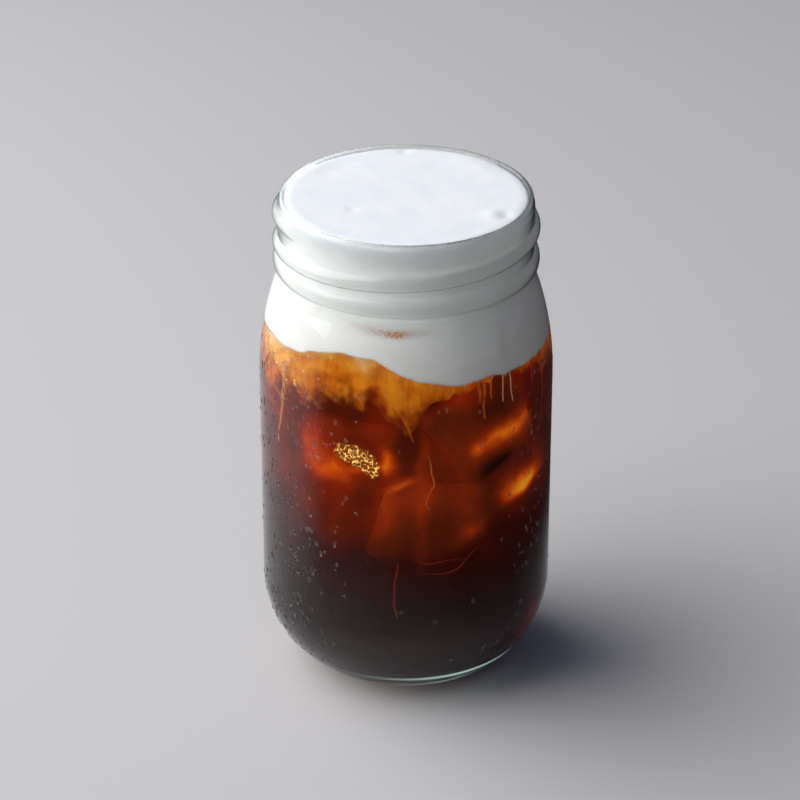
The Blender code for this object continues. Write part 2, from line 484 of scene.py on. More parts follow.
def cream_place(place):
    """Where a vertex of the plain turned body lies on the real foam."""
    angle, radius, height = angle_of(place), radius_of(place), place.z
    line = cream_line(angle)
    if height < LINE_HEIGHT - MM:
        share = radius / (BORE_RADIUS * 0.9)
        return Vector((place.x, place.y, LINE_HEIGHT * (1 - share**2) + (line + 0.4 * MM) * share**2))
    if height <= SHOULDER_END:
        up = (height - LINE_HEIGHT) / (SHOULDER_END - LINE_HEIGHT)
        height = line + (SHOULDER_END - line) * up
        radius = cream_rim(height)
        return round_place(angle, radius, height)
    if height > CREAM_TOP - 0.01 * MM:
        return Vector((place.x, place.y, cream_surface(place.x, place.y)))
    radius += neck_swell(place)
    return round_place(angle, radius, height)


cream = turned("cream_foam", cream_section())
reshape(cream, cream_place)
count_faces(cream)

# %% [markdown]
# ## Where cream sinks into the coffee
# Under the foam a cloud of cream and coffee hangs behind a thin sheet of clear coffee. It is a skirt
# that recedes from the wall as it goes down, with lobes and folds from noise. Coffee swallows light so
# fast that a millimetre more in front of the cloud turns it from pale amber to orange, and ten to red.
# A cloudy volume would be truer but slow and noisy, and a skin that thins out looks much the same.

# %% Mixing cloud
CLOUD_LENGTH = 18.0 * MM
CLOUD_STEPS = 60
CLOUD_WAVES = (
    # angle, rise mm, half width in degrees
    (-120, 1.0, 24),
    (-92, 2.4, 8),
    (-89.5, 3.0, 3),
    (-70, -6.0, 16),
    (-34, -11.0, 36),
    (60, 3.0, 30),
    (130, -5.0, 25),
)
MILKY_PLACES = (
    # angle, half width, share of the length where it has ended, strength
    (-109, 5, 0.50, 1.0),
    (-128, 12, 0.24, 0.45),
    (-164, 13, 0.70, 0.75),
    (70, 10, 0.40, 0.8),
    (165, 9, 0.45, 0.7),
)
WALL_GAP = 0.15 * MM


def milkiness(angle, down):
    """How much unmixed milk shows in the cloud, in a few places below the cream line."""
    total = 0.0
    for at, width, end, strength in MILKY_PLACES:
        here = bell(turn_between(angle, math.radians(at)), math.radians(width))
        total += strength * here * (1.0 - smooth_step(down, 0.3 * end, end))
    return total


def cloud_length(angle):
    ragged = 3.4 * wall_noise(angle, 0.02, 7 * MM) + 1.4 * wall_noise(angle, 0.05, 3 * MM)
    return max(CLOUD_LENGTH + waves_at(angle, CLOUD_WAVES) + ragged * MM, 2.0 * MM)


def cloud_depth(angle, down):
    """How far behind the wall the cloud lies, at a share of its length from the cream line."""
    drop = down * cloud_length(angle)
    billow = 1.1 * MM * wall_noise(angle, drop, 6 * MM)
    billow += 0.7 * MM * wall_noise(angle, drop * 0.8 + 0.01, 2.6 * MM)
    billow += 0.3 * MM * wall_noise(angle, drop * 0.6 + 0.05, 1.1 * MM)
    froth = 1.3 * MM * bell(turn_between(angle, math.radians(-160)), math.radians(20))
    curl_under = 5.0 * MM * max(down - 0.86, 0.0) ** 2 / 0.14**2
    curl_under += 2.4 * MM * bell(turn_between(angle, math.radians(-40)), math.radians(34))
    start = (2.8 * MM - froth) * smooth_step(down, -0.03, 0.16)
    start -= 1.9 * MM * milkiness(angle, down) * smooth_step(down, -0.03, 0.16)
    depth = max(start + 3.4 * MM * down + billow * min(down * 6, 1.0), WALL_GAP)
    return depth + curl_under * min(down * 8, 1.0)


def cloud_section():
    points = [(BORE_RADIUS * share, LINE_HEIGHT + 2 * MM) for share in spread(0.0, 1.0, 6)]
    for step in range(CLOUD_STEPS):
        points.append((BORE_RADIUS + 2 * MM, LINE_HEIGHT - CLOUD_LENGTH * step / CLOUD_STEPS))
    points += [(BORE_RADIUS * share, LINE_HEIGHT - CLOUD_LENGTH) for share in spread(0.6, 0.0, 6)]
    return points


def cloud_place(place):
    angle, radius, height = angle_of(place), radius_of(place), place.z
    line = cream_line(angle)
    if height > LINE_HEIGHT + MM:
        return Vector((place.x, place.y, line + 1.0 * MM))
    if radius < BORE_RADIUS * 0.7:
        return Vector((place.x, place.y, line - cloud_length(angle) * 0.7))
    down = (LINE_HEIGHT - height) / CLOUD_LENGTH
    height = line + 0.5 * MM - down * cloud_length(angle)
    radius = inner_radius(height) - cloud_depth(angle, down)
    return round_place(angle, radius, height)


def thinning(angle, down):
    """How solid the cloud is: full at the top, and ragged to nothing along its lower edge."""
    drop = down * cloud_length(angle)
    torn = wall_noise(angle, drop * 0.5, 4 * MM) + 0.6 * wall_noise(angle, drop, 1.7 * MM)
    return smooth_step(1.0 - down + 0.30 * torn, 0.0, 0.55)


def down_the_cloud(place):
    """Share of the way down the section before it is reshaped, 0 at the cream line."""
    return min(max((LINE_HEIGHT - place.z) / CLOUD_LENGTH, 0.0), 1.0)


FINE_SEGMENTS = 320
cloud = turned("mixing_cloud", cloud_section(), FINE_SEGMENTS)
keep_value(cloud, "solidity", lambda vertex: thinning(angle_of(vertex.co), down_the_cloud(vertex.co)))
keep_value(cloud, "milk", lambda vertex: milkiness(angle_of(vertex.co), down_the_cloud(vertex.co)))
reshape(cloud, cloud_place)
count_faces(cloud)

# %% [markdown]
# ## The coffee
# The coffee is one clear body. Its skin reaches just into the glass, and its top lies inside the
# cream. The rounded bottom follows the inside of the jar. It could stop a hair short of the glass, but
# then a film of air would mirror the room all round.

# %% Coffee
INTO_CREAM = 3.0 * MM
PLAIN_WALL_TOP = 86.0 * MM


def coffee_section():
    centre = INNER_RADIUS - INNER_HEEL_REACH
    base = INNER_BASE - REACH_INTO_WALL
    points = [(centre * share, base + INNER_PUSH_UP * (1 - share**2)) for share in (0.0, 0.4, 0.7)]
    reach = INNER_HEEL_REACH + REACH_INTO_WALL
    points += heel_curve(centre, base, reach, INNER_HEEL_HEIGHT + REACH_INTO_WALL, 2.0, 0.0, 18)
    points += [(inner_radius(height) + REACH_INTO_WALL, height) for height in spread(32 * MM, 84 * MM, 4)]
    points += [
        (inner_radius(height) + REACH_INTO_WALL * 0.6, height)
        for height in spread(PLAIN_WALL_TOP, LINE_HEIGHT + INTO_CREAM, 8)
    ]
    points += [(BORE_RADIUS * share, LINE_HEIGHT + INTO_CREAM) for share in (0.9, 0.6, 0.3, 0.0)]
    return points


def coffee_place(place):
    """Stretch the top ring up to the cream line, so that the coffee ends inside the cream."""
    if place.z <= PLAIN_WALL_TOP:
        return place.copy()
    angle = angle_of(place)
    up = (place.z - PLAIN_WALL_TOP) / (LINE_HEIGHT + INTO_CREAM - PLAIN_WALL_TOP)
    height = PLAIN_WALL_TOP + (cream_line(angle) + 0.6 * MM - PLAIN_WALL_TOP) * up
    if radius_of(place) < BORE_RADIUS:
        return Vector((place.x, place.y, LINE_HEIGHT + 1.0 * MM))
    radius = inner_radius(height) + REACH_INTO_WALL * 0.6
    return round_place(angle, radius, height)


coffee = turned("coffee_drink", coffee_section())
reshape(coffee, coffee_place)
count_faces(coffee)

# %% [markdown]
# ## Light in the depths
# Black coffee lets the eye reach a few millimetres in. What is seen behind that is light scattered
# back: near black at the bottom, brown-red higher up, and glowing where ice leads light in. A dark
# body a little smaller than the coffee shows it, and a sum of soft spots gives every vertex its glow.
# Light that really scatters in a liquid this dark would take far more samples than a render has.

# %% Depths of the coffee
DEPTH = 5.0 * MM
DEPTHS_TOP = 97.0 * MM
DEPTHS_LIFT = 3.0 * MM
GLOWS = (
    # angle, height mm, half width mm, half height mm, rise per mm to the right, strength
    (-126, 70.5, 10.0, 4.2, 0.10, 0.42),
    (-138, 78.0, 3.4, 9.0, 0.05, 0.24),
    (-130, 76.0, 8.0, 6.0, 0.1, 0.15),
    (-126, 58.0, 9.0, 9.0, 0.0, 0.10),
    (-98, 76.0, 2.6, 3.6, -0.25, 0.52),
    (-106, 73.5, 6.0, 1.3, 0.15, 0.30),
    (-92, 69.6, 4.8, 1.0, 0.38, 0.26),
    (-82, 76.0, 1.8, 18.0, 0.0, 0.16),
    (-84, 54.0, 2.2, 12.0, 0.0, 0.10),
    (-80, 60.0, 15.0, 8.0, 0.0, 0.10),
    (-99, 63.0, 2.0, 6.0, -0.8, 0.10),
    (-59, 53.0, 4.6, 2.6, 0.3, 0.28),
    (-48, 79.0, 9.0, 3.2, 0.24, 0.42),
    (-57, 76.0, 2.6, 3.6, 0.2, 0.18),
    (-36, 80.5, 7.0, 3.0, 0.10, 0.34),
    (-30, 62.0, 9.0, 3.6, 0.10, 0.56),
    (-26, 60.0, 6.0, 1.7, 0.08, 0.44),
    (-48, 70.6, 6.0, 2.2, 0.15, -0.24),
    (-52, 88.0, 10.0, 3.0, 0.0, -0.12),
    (-118, 86.0, 8.0, 4.0, -0.4, -0.06),
    (-15, 15.0, 7.0, 7.0, 0.0, 0.34),
    (40, 80.0, 14.0, 5.0, 0.3, 0.34),
    (86, 64.0, 9.0, 7.0, -0.3, 0.30),
    (128, 84.0, 12.0, 4.0, 0.2, 0.34),
    (160, 60.0, 10.0, 5.0, 0.4, 0.26),
    (-170, 82.0, 8.0, 4.0, -0.3, 0.24),
    (20, 58.0, 6.0, 3.0, 0.2, 0.36),
    (105, 82.0, 5.0, 8.0, 0.0, 0.20),
)


def depth_radius(height):
    """The dark body draws back near the top, where the cloud hangs in front of it."""
    return inner_radius(height) - DEPTH - 4.0 * MM * smooth_step(height, 78 * MM, 92 * MM)


def glow_at(place):
    """How much light comes back from a place in the coffee, 0 dark to 1 bright yellow."""
    angle, height = angle_of(place), place.z
    glow = 0.30 * smooth_step(height, 26 * MM, 66 * MM) + 0.10 * smooth_step(height, 80 * MM, 96 * MM)
    glow *= 1.0 + 0.45 * wall_noise(angle, height, 11 * MM)
    bend = 1.6 * MM * wall_noise(angle, height + 0.1, 6 * MM)
    for at, middle, across, up, slant, strength in GLOWS:
        side = turn_between(angle, math.radians(at)) * INNER_RADIUS + bend
        over = height - middle * MM - slant * side + bend
        glow += strength * bell(side, across * MM) * bell(over, up * MM)
    return max(glow, 0.0)


TOWARDS_WINDOW = Vector((-0.75, -0.25, 0.6)).normalized()


def give_glow(piece, extra=0.0):
    """Write each vertex's glow; faces that look up and left get a little more."""

    def vertex_glow(vertex):
        return max(glow_at(vertex.co) + extra * vertex.normal.dot(TOWARDS_WINDOW), 0.0)

    keep_value(piece, "glow", vertex_glow)


def depths_section():
    centre = INNER_RADIUS - INNER_HEEL_REACH
    base = INNER_BASE + DEPTHS_LIFT
    points = [(centre * share, base) for share in (0.0, 0.5)]
    reach = INNER_HEEL_REACH - DEPTH
    points += heel_curve(centre, base, reach, INNER_HEEL_HEIGHT - DEPTHS_LIFT, 2.0, 0.0, 20)
    points += [(depth_radius(height), height) for height in spread(27 * MM, DEPTHS_TOP, 90)]
    points += [(depth_radius(DEPTHS_TOP) * share, DEPTHS_TOP) for share in (0.7, 0.4, 0.0)]
    return points


depths = turned("coffee_depths", depths_section(), FINE_SEGMENTS)
give_glow(depths)
count_faces(depths)

# %% [markdown]
# ## Ice
# Ice cubes float high and press against the glass. Each starts as a cube, is subdivided and rounded,
# and gets the dents and melted edges of real ice from a Displace modifier. Its glow comes from the
# same soft spots as that of the depths, plus a little more on the faces that look to the window.
# Sculpting would give finer forms than can be seen through coffee.

# %% Ice cubes
CUBE = 25.0 * MM
MELT = 4.0 * MM
ICE_ROOM = 2.6 * MM
ICE_PLACES = (
    # angle, distance of the middle from the axis, height, roll, pitch, twist, size
    (-117, 19.2, 76.0, -5, 10, 8, 0.92),
    (-50, 20.2, 81.0, 24, -6, -4, 1.00),
    (-82, 20.0, 57.5, -14, 6, 8, 1.05),
    (-24, 20.6, 70.0, 6, -4, 4, 0.90),
    (35, 19.4, 75.0, 18, 8, -8, 1.00),
    (84, 20.2, 68.0, -22, -5, 6, 1.00),
    (132, 19.2, 76.5, 12, 6, 10, 1.00),
    (164, 20.4, 60.0, 28, 4, -6, 0.95),
    (-168, 19.2, 78.0, -18, -4, 4, 0.85),
)

roughness_texture = bpy.data.textures.new("ice_dents", "CLOUDS")
roughness_texture.noise_scale = 9 * MM
roughness_texture.noise_depth = 2


def ice_cube(index, angle, out, height, turn, size):
    deselect()
    bpy.ops.mesh.primitive_cube_add(size=CUBE * size)
    cube = bpy.context.object
    cube.name = f"ice_{index}"
    edit_all(cube)
    bpy.ops.mesh.bevel(offset=2.8 * MM, segments=3, affect="EDGES")
    bpy.ops.mesh.subdivide(number_cuts=5)
    leave_edit()
    apply_modifier(cube, "SUBSURF", levels=1, render_levels=1)
    roll, pitch, twist = turn
    cube.rotation_euler = [math.radians(value) for value in (roll, pitch, angle + twist)]
    place_in_mesh(cube)
    cube.location = round_place(math.radians(angle), out * MM, height * MM)
    place_in_mesh(cube)
    apply_modifier(
        cube,
        "DISPLACE",
        texture=roughness_texture,
        texture_coords="LOCAL",
        direction="NORMAL",
        strength=2.6 * MM,
        mid_level=0.5,
    )
    smooth(cube)
    return cube


def keep_inside(piece, room):
    """Melt back whatever comes closer to the wall than the given room, softly over its last 4 mm."""
    start = INNER_RADIUS - room - MELT
    for vertex in piece.data.vertices:
        radius = radius_of(vertex.co)
        if radius > start:
            new_radius = start + MELT * math.tanh((radius - start) / MELT)
            vertex.co.x *= new_radius / radius
            vertex.co.y *= new_radius / radius
    piece.data.update()


ice = []
for index, (angle, out, height, roll, pitch, twist, size) in enumerate(ICE_PLACES, 1):
    cube = ice_cube(index, angle, out, height, (roll, pitch, twist), size)
    keep_inside(cube, ICE_ROOM)
    give_glow(cube, 0.06)
    ice.append(cube)
print(len(ice), "ice cubes")

# %% [markdown]
# ## Threads of cream
# Where cream falls through the coffee it leaves thin threads, drips and faint curls. Each is a path of
# extruded points with a Skin modifier, which wraps a path in a tube of its own width at every point. A
# bevelled curve would do too, but here the width is set where the path is made. Their depth behind the
# wall makes them tan, amber or dark red.

# %% Cream threads
THREADS = (
    # each: (angle, height mm, depth mm, radius mm), ...
    ((-152, 99, 1.2, 1.6), (-149.0, 93.0, 1.3, 1.0), (-149.8, 86.0, 1.5, 0.8), (-152.0, 79.5, 1.7, 0.6),
     (-154.5, 75.0, 1.8, 0.45), (-153.3, 72.8, 1.8, 0.8)),
    ((-92.0, 90.5, 3.0, 0.8), (-89.8, 87.5, 2.8, 0.8), (-88.2, 84.8, 2.8, 0.55), (-87.1, 82.0, 2.9, 0.3)),
    ((-81.1, 79.5, 2.4, 0.2), (-79.4, 74.3, 2.2, 0.42), (-78.5, 69.8, 2.3, 0.4), (-80.6, 67.0, 2.5, 0.3),
     (-81.4, 64.0, 2.6, 0.34), (-79.5, 62.1, 2.8, 0.2)),
    ((-58.6, 101, 2.4, 1.6), (-58.2, 96.5, 2.6, 0.9), (-57.8, 93.5, 2.7, 0.8), (-57.4, 90.8, 2.9, 0.5)),
    ((-55.4, 101, 2.3, 1.3), (-55.6, 95, 2.5, 0.7), (-55.9, 89.0, 2.7, 0.45), (-56.0, 86.2, 2.8, 0.6)),
    ((-52.4, 101, 2.3, 1.1), (-52.3, 96, 2.5, 0.6), (-52.2, 91.2, 2.5, 0.4)),
    ((-48.1, 101.6, 0.5, 0.55), (-47.4, 96, 0.6, 0.35), (-47.8, 91.0, 0.8, 0.3), (-47.9, 90.2, 0.8, 0.42)),
    ((-42.8, 100.4, 0.5, 0.5), (-43.6, 95, 0.6, 0.3), (-42.4, 88.6, 0.8, 0.25)),
    ((-45.2, 101, 0.5, 0.5), (-45.4, 96.5, 0.6, 0.25)),
    ((-100.4, 67.4, 3.8, 0.5), (-92.6, 69.6, 3.2, 0.9), (-86.4, 72.5, 3.4, 0.35)),
    ((-88.0, 46.7, 4.6, 0.2), (-80.0, 45.3, 4.2, 0.4), (-70.5, 45.8, 4.2, 0.35), (-62.2, 45.0, 4.5, 0.2)),
    ((-86.3, 43.0, 4.7, 0.2), (-75.7, 41.8, 4.3, 0.35), (-67.5, 42.4, 4.3, 0.5), (-62.2, 45.2, 4.3, 0.45),
     (-56.8, 48.0, 4.6, 0.2)),
    ((-92.6, 54.0, 4.9, 0.4), (-94.2, 43.0, 4.5, 0.5), (-95.5, 35.3, 4.3, 0.5), (-94.3, 28.5, 4.4, 0.6)),
)
BACK_THREADS = 16
THREAD_WIDTH = 0.62
random.seed(11)


def eased_value(p, q, r, s, t):
    """Between q and r, at share t, with p and s as the values before and after them."""
    slope = r - p
    bend = 2 * p - 5 * q + 4 * r - s
    twist = 3 * q - p - 3 * r + s
    return 0.5 * (2 * q + slope * t + bend * t**2 + twist * t**3)


def eased(stops, steps=6):
    """A smooth path through the stops."""
    ends = [stops[0], *stops, stops[-1]]
    path = []
    for a, b, c, d in zip(ends, ends[1:], ends[2:], ends[3:]):
        for step in range(steps):
            path.append(tuple(eased_value(*values, step / steps) for values in zip(a, b, c, d)))
    path.append(stops[-1])
    return path


def thread_piece(name, stops):
    """A tapering tube along places given as (angle, height, depth behind the wall, radius)."""
    deselect()
    bpy.ops.mesh.primitive_plane_add(size=MM)
    piece = bpy.context.object
    piece.name = name
    edit_all(piece)
    bpy.ops.mesh.merge(type="CENTER")
    before = Vector((0.0, 0.0, 0.0))
    places = []
    widths = []
    for angle, height, depth, width in eased(stops):
        at = math.radians(angle) + 0.012 * noise.noise(Vector((angle, height * 0.35, 0.0)))
        radius = inner_radius(height * MM) - max(depth, width * THREAD_WIDTH * 0.8) * MM
        place = round_place(at, radius, height * MM)
        if places:
            bpy.ops.mesh.extrude_region_move(TRANSFORM_OT_translate={"value": place - before})
        else:
            bpy.ops.transform.translate(value=place)
        before = place
        places.append(place)
        widths.append(max(width, 0.12) * THREAD_WIDTH * MM * (1.0 + 0.3 * noise.noise(place / (1.5 * MM))))
    leave_edit()
    activate(piece)
    piece.modifiers.new("skin", "SKIN")
    for vertex, width in zip(piece.data.skin_vertices[0].data, widths):
        vertex.radius = (width, width)
    bpy.ops.object.modifier_apply(modifier="skin")
    apply_modifier(piece, "SUBSURF", levels=1, render_levels=1)
    smooth(piece)
    keep_value(piece, "paleness", thread_paleness)
    keep_value(piece, "solidity", lambda vertex: thread_solidity(vertex, places))
    return piece


def thread_paleness(vertex):
    """Full paleness just behind the wall, none some 4 mm in."""
    depth = inner_radius(vertex.co.z) - radius_of(vertex.co)
    return 1.0 - smooth_step(depth, 0.8 * MM, 4.2 * MM)


def thread_solidity(vertex, places):
    """Paler threads are more solid, and both ends fade out."""
    nearest = min(range(len(places)), key=lambda i: (places[i] - vertex.co).length_squared)
    along = nearest / (len(places) - 1)
    ends = smooth_step((1.0 - along) * 5 + 0.25, 0.0, 1.0) * smooth_step(along * 7, 0.0, 1.0)
    return (0.32 + 0.30 * thread_paleness(vertex)) * ends


def hidden_thread():
    """A thread for the sides that the photograph doesn't show."""
    angle = random.uniform(-25, 195)
    top = cream_line(math.radians(angle)) / MM + 1.0
    length = random.uniform(8, 26)
    depth = random.uniform(0.8, 3.0)
    sway = random.uniform(-4, 4)
    return (
        (angle, top, depth, random.uniform(0.5, 1.1)),
        (angle + sway * 0.4, top - length * 0.45, depth + 0.4, 0.45),
        (angle + sway, top - length, depth + 1.0, 0.25),
    )


strands = [thread_piece("thread", stops) for stops in THREADS]
strands += [thread_piece("thread", hidden_thread()) for _ in range(BACK_THREADS)]
threads = joined(strands, "cream_threads")

# %% [markdown]
# ## Frosted ice face
# One face of the ice at the front left is crackled, and it sparkles like gold leaf through the coffee.
# It is a small sheet of its own just in front of the ice, with an uneven outline from a vertex value.
# On the cube itself it would lie too deep in the coffee to stay gold.

# %% Crackled patch
PATCH_SPOTS = (
    # angle, height mm, half width mm, half height mm, strength
    (-115.5, 78.0, 3.6, 2.2, 1.0),
    (-109.5, 77.0, 3.2, 2.8, 1.0),
    (-104.2, 74.2, 1.9, 2.7, 1.0),
)
PATCH_ANGLE = math.radians(-109)
PATCH_HEIGHT = 76.0 * MM
PATCH_DEPTH = 2.1 * MM
PATCH_SIZE = (20.0, 14.0, 1.0)


def soft_spots(place, spots, radius):
    """Sum of soft spots on a round wall, each given as angle, height mm, half sizes mm and strength."""
    total = 0.0
    for at, height, across, up, strength in spots:
        side = turn_between(angle_of(place), math.radians(at)) * radius
        total += strength * bell(side, across * MM) * bell(place.z - height * MM, up * MM)
    return total


def patch_strength(vertex):
    ragged = 0.25 * wall_noise(angle_of(vertex.co), vertex.co.z, 1.4 * MM)
    return soft_spots(vertex.co, PATCH_SPOTS, INNER_RADIUS) + ragged


def patch_place(place):
    angle = PATCH_ANGLE + place.x / INNER_RADIUS
    height = PATCH_HEIGHT + place.y
    crackle = 0.35 * MM * abs(wall_noise(angle, height, 0.9 * MM))
    radius = INNER_RADIUS - PATCH_DEPTH + crackle
    return round_place(angle, radius, height)


bpy.ops.mesh.primitive_grid_add(x_subdivisions=110, y_subdivisions=80, size=MM)
patch = bpy.context.object
patch.name = "crackled_ice_face"
patch.scale = PATCH_SIZE
place_in_mesh(patch)
reshape(patch, patch_place)
apply_modifier(patch, "SOLIDIFY", thickness=0.2 * MM)
smooth(patch)
keep_value(patch, "sparkle", patch_strength)
count_faces(patch)

# %% [markdown]
# ## Froth
# Small bubbles gather under the foam at the left and hang here and there against the glass. One ball
# is modelled and copied, and random draws, the same in every run, give each its place and size. A
# particle system could scatter them, but not along the cream's uneven line.

# %% Bubbles
LEFT_BUBBLES = 80
BUBBLE_COUNT = 124
bpy.ops.mesh.primitive_ico_sphere_add(subdivisions=2, radius=MM)
first_bubble = bpy.context.object
bubbles = []
for index in range(BUBBLE_COUNT):
    if index < LEFT_BUBBLES:
        angle = random.gauss(-156, 12)
        below = min(abs(random.gauss(0, 4.5)), 9.0)
    else:
        angle = random.uniform(-15, 185)
        below = abs(random.gauss(1, 4))
    height = cream_line(math.radians(angle)) / MM - below
    radius = random.choice((0.16, 0.2, 0.26, 0.34, 0.46)) * random.uniform(0.8, 1.2)
    out = inner_radius(height * MM) - (radius + random.uniform(0.1, 0.7)) * MM
    place = round_place(math.radians(angle), out, height * MM)
    bubbles.append(scattered(first_bubble, place, (radius, radius, radius)))
bpy.data.objects.remove(first_bubble)
froth = joined(bubbles, "froth_bubbles")

# %% [markdown]
# ## Materials: shader maths as plain expressions
# A Wire is an output socket that can be added, multiplied and so on, and each operation adds its Math
# node. A Finish holds one material and adds any node from its type, its settings and its inputs.


# %% Shader helpers
class Wire:
    """An output socket that takes part in arithmetic."""

    def __init__(self, finish, socket):
        self.finish = finish
        self.socket = socket

    def math(self, operation, *values):
        inputs = dict(enumerate(values))
        return self.finish.node("ShaderNodeMath", {"operation": operation}, inputs)

    def __add__(self, other):
        return self.math("ADD", self, other)

    def __sub__(self, other):
        return self.math("SUBTRACT", self, other)

    def __rsub__(self, other):
        return self.math("SUBTRACT", other, self)

    def __mul__(self, other):
        return self.math("MULTIPLY", self, other)

    def __truediv__(self, other):
        return self.math("DIVIDE", self, other)

    def __pow__(self, other):
        return self.math("POWER", self, other)

    __radd__ = __add__
    __rmul__ = __mul__

    def clamped(self):
        return self.finish.node("ShaderNodeClamp", {}, {0: self})

    def between(self, low, high):
        """0 below low, 1 above high, smooth between."""
        inputs = {"Value": self, "From Min": low, "From Max": high}
        return self.finish.node("ShaderNodeMapRange", {"interpolation_type": "SMOOTHSTEP"}, inputs)


class Finish:
    """One material and its nodes."""

    def __init__(self, name):
        self.material = bpy.data.materials.new(name)
        self.material.use_nodes = True
        self.tree = self.material.node_tree
        self.tree.nodes.clear()
        self.output = self.tree.nodes.new("ShaderNodeOutputMaterial")

    def node(self, kind, settings=None, inputs=None, output=0):
        """Any node: its settings first, then the values and links of its sockets."""
        node = self.tree.nodes.new(kind)
        for key, value in (settings or {}).items():
            if key == "stops":
                ramp = node.color_ramp
                while len(ramp.elements) < len(value):
                    ramp.elements.new(0.5)
                for element, (position, colour) in zip(ramp.elements, value):
                    element.position = position
                    element.color = (*colour, 1.0)
            else:
                setattr(node, key, value)
        for key, value in (inputs or {}).items():
            socket = self.find(node.inputs, key)
            if isinstance(value, Wire):
                self.tree.links.new(value.socket, socket)
            else:
                socket.default_value = value
        return Wire(self, self.find(node.outputs, output))

    @staticmethod
    def find(sockets, key):
        if isinstance(key, int):
            return sockets[key]
        for socket in sockets:
            if socket.identifier == key:
                return socket
        return sockets[key]

    def principled(self, inputs):
        return self.node("ShaderNodeBsdfPrincipled", {}, inputs)

    def clear_shader(self, inputs):
        """A see-through shader: plain and polished unless the inputs say otherwise."""
        plain = {"Base Color": rgb(1.0, 1.0, 1.0), "Roughness": 0.0, "Transmission Weight": 1.0}
        return self.principled({**plain, **inputs})

    def place(self):
        return self.node("ShaderNodeTexCoord", output="Object")

    def noise(self, scale, detail=3.0, roughness=0.5, place=None, output="Fac"):
        inputs = {"Vector": place or self.place(), "Scale": scale, "Detail": detail, "Roughness": roughness}
        return self.node("ShaderNodeTexNoise", {}, inputs, output)

    def stretched(self, scale):
        """The object's own place with each axis scaled, for streaks."""
        return self.node("ShaderNodeMapping", {}, {"Vector": self.place(), "Scale": scale})

    def mixed(self, factor, first, second):
        """A colour between two colours."""
        inputs = {"Factor_Float": factor, "A_Color": first, "B_Color": second}
        return self.node("ShaderNodeMix", {"data_type": "RGBA"}, inputs, "Result_Color")

    def attribute(self, name):
        return self.node("ShaderNodeAttribute", {"attribute_name": name}, output="Fac")

    def axis(self, name):
        return self.node("ShaderNodeSeparateXYZ", {}, {0: self.place()}, name)

    def surface(self, shader):
        self.tree.links.new(shader.socket, self.output.inputs["Surface"])

    def volume(self, shader):
        self.tree.links.new(shader.socket, self.output.inputs["Volume"])


def rgb(red, green, blue):
    return (red, green, blue, 1.0)


def dress(piece, finish):
    piece.data.materials.clear()
    piece.data.materials.append(finish.material)
    print(piece.name, "wears", finish.material.name)


# %% [markdown]
# ## Clear things
# Light from lamps can't find its way through bent glass in a path tracer without a lot of noise. So
# the glass, the coffee and the dew turn plainly see-through for shadow rays only, and the absorption
# inside them still tints that light.


# %% Clear body with absorption
def clear_body(finish, shader, tint, density):
    """Finish a clear material: lamps reach through it, and its inside swallows colour with depth."""
    shadow_ray = finish.node("ShaderNodeLightPath", output="Is Shadow Ray")
    open_door = finish.node("ShaderNodeBsdfTransparent", {}, {"Color": rgb(0.97, 0.97, 0.97)})
    finish.surface(finish.node("ShaderNodeMixShader", {}, {0: shadow_ray, 1: shader, 2: open_door}))
    finish.volume(finish.node("ShaderNodeVolumeAbsorption", {}, {"Color": rgb(*tint), "Density": density}))


# %% [markdown]
# ## Glass
# The jar is one material with two shaders. Where a vertex is wet, the inside of the wall meets coffee
# and not air, so it bends light far less. The neck's edges go dark green where they are seen at a
# grazing angle, as thick glass does, and a faint waviness stirs the reflections. Two materials that
# meet at the cream line would leave a hard seam in the wall.

# %% Glass
GLASS_IOR = 1.5
COFFEE_IOR = 1.33
GLASS_TINT = (0.15, 0.65, 0.60)
GLASS_DENSITY = 11.0
GLEAM_COLOUR = rgb(0.42, 0.60, 0.55)
EDGE_COLOUR = rgb(0.002, 0.014, 0.018)
glass_finish = Finish("clear_glass")
waviness = glass_finish.noise(60.0, 2.0)
bump = glass_finish.node(
    "ShaderNodeBump", {}, {"Height": waviness, "Strength": 0.9, "Distance": 0.075 * MM}
)
# Painted glow: where the gleam value is high, the glass gives off pale green light in the foot.
gleam = glass_finish.attribute("gleam")
painted_foot_glow = glass_finish.mixed(gleam.between(0.0, 1.0), rgb(0.0, 0.0, 0.0), GLEAM_COLOUR)
edge_on = glass_finish.node("ShaderNodeLayerWeight", {}, {"Blend": 0.5}, "Facing").between(0.52, 0.86)
on_neck = glass_finish.axis("Z").between(116.0 * MM, 118.0 * MM)
glass_tone = glass_finish.mixed(edge_on * on_neck, rgb(1.0, 1.0, 1.0), EDGE_COLOUR)
glass_shader = glass_finish.clear_shader(
    {
        "Base Color": glass_tone,
        "IOR": GLASS_IOR,
        "Normal": bump,
        "Emission Color": painted_foot_glow,
        "Emission Strength": 0.8,
    }
)
wetted_shader = glass_finish.clear_shader({"IOR": GLASS_IOR / COFFEE_IOR})
wet = glass_finish.attribute("wet")
either = glass_finish.node("ShaderNodeMixShader", {}, {0: wet, 1: glass_shader, 2: wetted_shader})
clear_body(glass_finish, either, GLASS_TINT, GLASS_DENSITY)
dress(jar, glass_finish)

# %% [markdown]
# Coffee touches the inside of the jar up to the cream line. A vertex value marks it, because the line
# is uneven and a value fades from one vertex to the next, where whole faces would end in steps.

# %% Where coffee wets the glass
INNER_HEEL_TOP = 24.0 * MM


def wetness(vertex):
    """1 on the inside of the jar up to the cream line, 0 elsewhere."""
    place = vertex.co
    if place.z > INNER_HEEL_TOP:
        inside = radius_of(place) < inner_radius(place.z) + 0.3 * MM
    else:
        inside = vertex.normal.z > 0 and place.z > 4 * MM
    return float(inside and place.z < cream_line(angle_of(place)))


keep_value(jar, "wet", wetness)
print(sum(item.value for item in jar.data.attributes["wet"].data), "points of the jar are wet with coffee")
